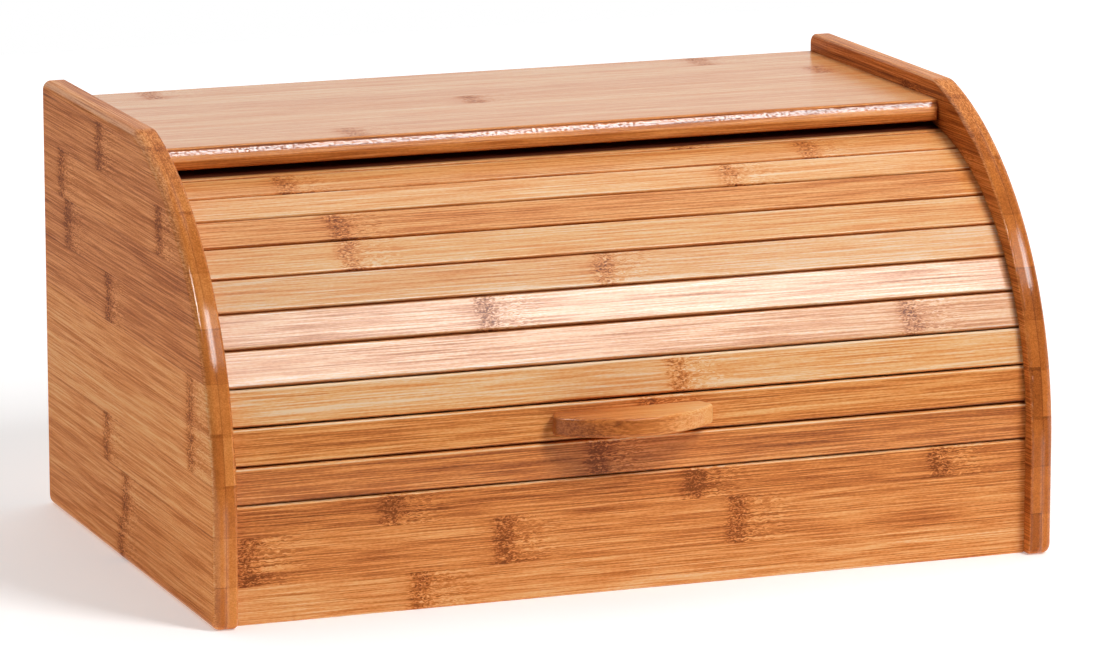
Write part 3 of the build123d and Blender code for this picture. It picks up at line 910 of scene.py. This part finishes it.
def stitches(graph, across, length):
    """Where a thread shows, in a row along each hem."""
    from_edge = graph.math("SUBTRACT", CANVAS_HALF_WIDTH, graph.math("ABSOLUTE", across))
    off_line = graph.math("ABSOLUTE", graph.math("SUBTRACT", from_edge, CANVAS_HEM - STITCH_INSET))
    turn = graph.math("FRACT", graph.math("DIVIDE", length, STITCH_PITCH))
    dash = graph.math("LESS_THAN", turn, STITCH_SHARE)
    return graph.math("MULTIPLY", graph.fade(off_line, *STITCH_THREAD, 1.0, 0.0), dash)


def weave_material():
    """Unbleached cotton in plain weave, with a row of stitches along each hem."""
    graph, surface, material = new_material("canvas")
    place = graph.separate(graph.vector("SUBTRACT", graph.coordinates("Object"), tuple(TRACK)))
    across = graph.math("DIVIDE", place[0], MM)
    angle = graph.math("ARCTAN2", place[2], graph.math("MULTIPLY", place[1], -1.0))
    length = graph.math("MULTIPLY", angle, SLAT_FACE - SLAT_THICKNESS)
    turns = 2 * math.pi / WEAVE
    waves = [graph.math("SINE", graph.math("MULTIPLY", way, turns)) for way in (across, length)]
    slow = [graph.math("SINE", graph.math("MULTIPLY", way, turns / 2)) for way in (across, length)]
    over = graph.math("GREATER_THAN", graph.math("MULTIPLY", slow[0], slow[1]), 0.0)
    height = graph.blend(over, graph.math("ABSOLUTE", waves[0]), graph.math("ABSOLUTE", waves[1]))
    cloud = graph.noise(graph.combine(across, length, 0.0), CLOUD, detail=4.0)
    slub = graph.noise(graph.combine(across, length, 0.0), SLUB)
    shade = graph.math("MULTIPLY_ADD", cloud, CLOUD_SHARE, graph.math("MULTIPLY", slub, SLUB_SHARE))
    shade = graph.math("MULTIPLY_ADD", height, WEAVE_SHARE, shade)
    stitch = stitches(graph, across, length)
    colour = graph.mix(stitch, graph.ramp(shade, CANVAS_COLOURS), STITCH_COLOUR)
    graph.feed(surface.inputs["Base Color"], colour)
    graph.feed(surface.inputs["Roughness"], graph.fade(height, 0.0, 1.0, *CANVAS_ROUGHNESS))
    graph.feed(surface.inputs["Normal"], graph.bump(graph.math("ADD", height, stitch), *CANVAS_BUMP))
    surface.inputs["Sheen Weight"].default_value = 0.3
    surface.inputs["Specular IOR Level"].default_value = 0.2
    return material


def add_canvas():
    """Woven canvas glued to the slats, in place of the plain CAD solid."""
    form = canvas_form()
    canvas = bpy.data.objects.new("backing_canvas", bpy.data.meshes.new("backing_canvas"))
    form.to_mesh(canvas.data)
    form.free()
    bpy.context.scene.collection.objects.link(canvas)
    cut_screw_holes(canvas)
    canvas.data.materials.clear()
    canvas.data.materials.append(weave_material())
    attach(canvas, "tambour")
    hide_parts("tambour_backing")


# Camera, lights and floor, in metres and degrees

CAMERA_PLACE = Vector((-0.9664, -2.5645, 0.6695))
CAMERA_AZIMUTH = 20.69
CAMERA_ELEVATION = 11.84
CAMERA_REACH = 50.0
# Sensor and lens in millimetres, shift in shares of the picture's width.
SENSOR_WIDTH = 36.0
LENS = 200.0
SHIFT = (0.0009, -0.0027)

WHITE = (1.0, 1.0, 1.0, 1.0)
FRONT_LIGHT = 0.08
BACKDROP_LIGHT = 0.8
BACKDROP_EDGE = (-0.35, 0.35)

FLOOR_COLOUR = (0.92, 0.92, 0.92, 1.0)
FLOOR_WIDTH = 8.0
FLOOR_FRONT = -0.42
FLOOR_BACK = 1.4
FLOOR_GLOW = (0.28, 0.6)
FLOOR_GLOW_REACH = (0.3, 1.1)


def add_camera():
    """Camera at the photographed angle, to the left of the front and a little above."""
    data = bpy.data.cameras.new("camera")
    data.sensor_width = SENSOR_WIDTH
    data.lens = LENS
    data.shift_x, data.shift_y = SHIFT
    data.clip_end = CAMERA_REACH
    camera = bpy.data.objects.new("camera", data)
    turn = Matrix.Rotation(-math.radians(CAMERA_AZIMUTH), 4, "Z")
    tilt = Matrix.Rotation(math.radians(90.0 - CAMERA_ELEVATION), 4, "X")
    camera.matrix_world = Matrix.Translation(CAMERA_PLACE) @ turn @ tilt
    bpy.context.scene.collection.objects.link(camera)
    bpy.context.scene.camera = camera


def add_softbox(name, direction, distance, size, power, diffuse=True, glossy=True):
    """Rectangular soft light that faces the middle of the box. It may be kept to the matt or to
    the glossy part of what it lights."""
    aim = Vector((0.0, 0.0, HEIGHT / 2))
    data = bpy.data.lights.new(name, "AREA")
    data.shape = "RECTANGLE"
    data.size, data.size_y = size
    data.energy = power
    light = bpy.data.objects.new(name, data)
    light.location = aim + Vector(direction).normalized() * distance
    light.rotation_euler = (light.location - aim).to_track_quat("Z", "Y").to_euler()
    light.visible_diffuse = diffuse
    light.visible_glossy = glossy
    bpy.context.scene.collection.objects.link(light)


def add_lights():
    """A small key light from the front, two lights that only make the lacquer shine, on the slats
    and on the panels' rims, and a wide one overhead."""
    add_softbox("key", (0.35, -0.62, 0.69), 1.6, (0.45, 0.55), 17.2, glossy=False)
    add_softbox("sheen", (0.32, -0.66, 0.66), 1.6, (0.76, 0.52), 14.0, diffuse=False)
    add_softbox("rim", (-0.60, -0.42, 0.68), 1.6, (0.3, 0.5), 12.0, diffuse=False)
    add_softbox("overhead", (0.0, 0.3, 1.0), 1.8, (2.0, 1.6), 4.2)


def add_surroundings():
    """White studio, seen as plain white: it lights the box brightly from behind, dimly in front."""
    world = bpy.data.worlds.new("studio")
    world.use_nodes = True
    bpy.context.scene.world = world
    graph = Graph(world.node_tree)
    background = world.node_tree.nodes["Background"]
    background.inputs["Color"].default_value = WHITE
    direction = graph.separate(graph.coordinates("Generated"))
    lit = graph.fade(direction[1], *BACKDROP_EDGE, FRONT_LIGHT, BACKDROP_LIGHT)
    seen = graph.add("ShaderNodeLightPath").outputs["Is Camera Ray"]
    graph.feed(background.inputs["Strength"], graph.blend(seen, lit, 1.0))


def add_floor():
    """Plain pale floor that glows a little, more so away from the box, like a light table."""
    bpy.ops.mesh.primitive_plane_add(size=1.0, location=(0.0, (FLOOR_FRONT + FLOOR_BACK) / 2, 0.0))
    floor = bpy.context.object
    floor.name = "floor"
    floor.scale = (FLOOR_WIDTH, FLOOR_BACK - FLOOR_FRONT, 1.0)
    graph, surface, material = new_material("floor")
    distance = graph.vector("LENGTH", graph.add("ShaderNodeNewGeometry").outputs["Position"])
    surface.inputs["Base Color"].default_value = FLOOR_COLOUR
    surface.inputs["Roughness"].default_value = 0.9
    surface.inputs["Specular IOR Level"].default_value = 0.1
    surface.inputs["Emission Color"].default_value = WHITE
    glow = graph.fade(distance, *FLOOR_GLOW_REACH, *FLOOR_GLOW)
    graph.feed(surface.inputs["Emission Strength"], glow)
    floor.data.materials.append(material)


bpy.context.scene.view_settings.view_transform = "Standard"
add_camera()
add_surroundings()
add_floor()
add_lights()
dress_slats()
dress_front_board()
dress_panels()
dress_inner_boards()
dress_handle()
dress_small_parts()
add_canvas()
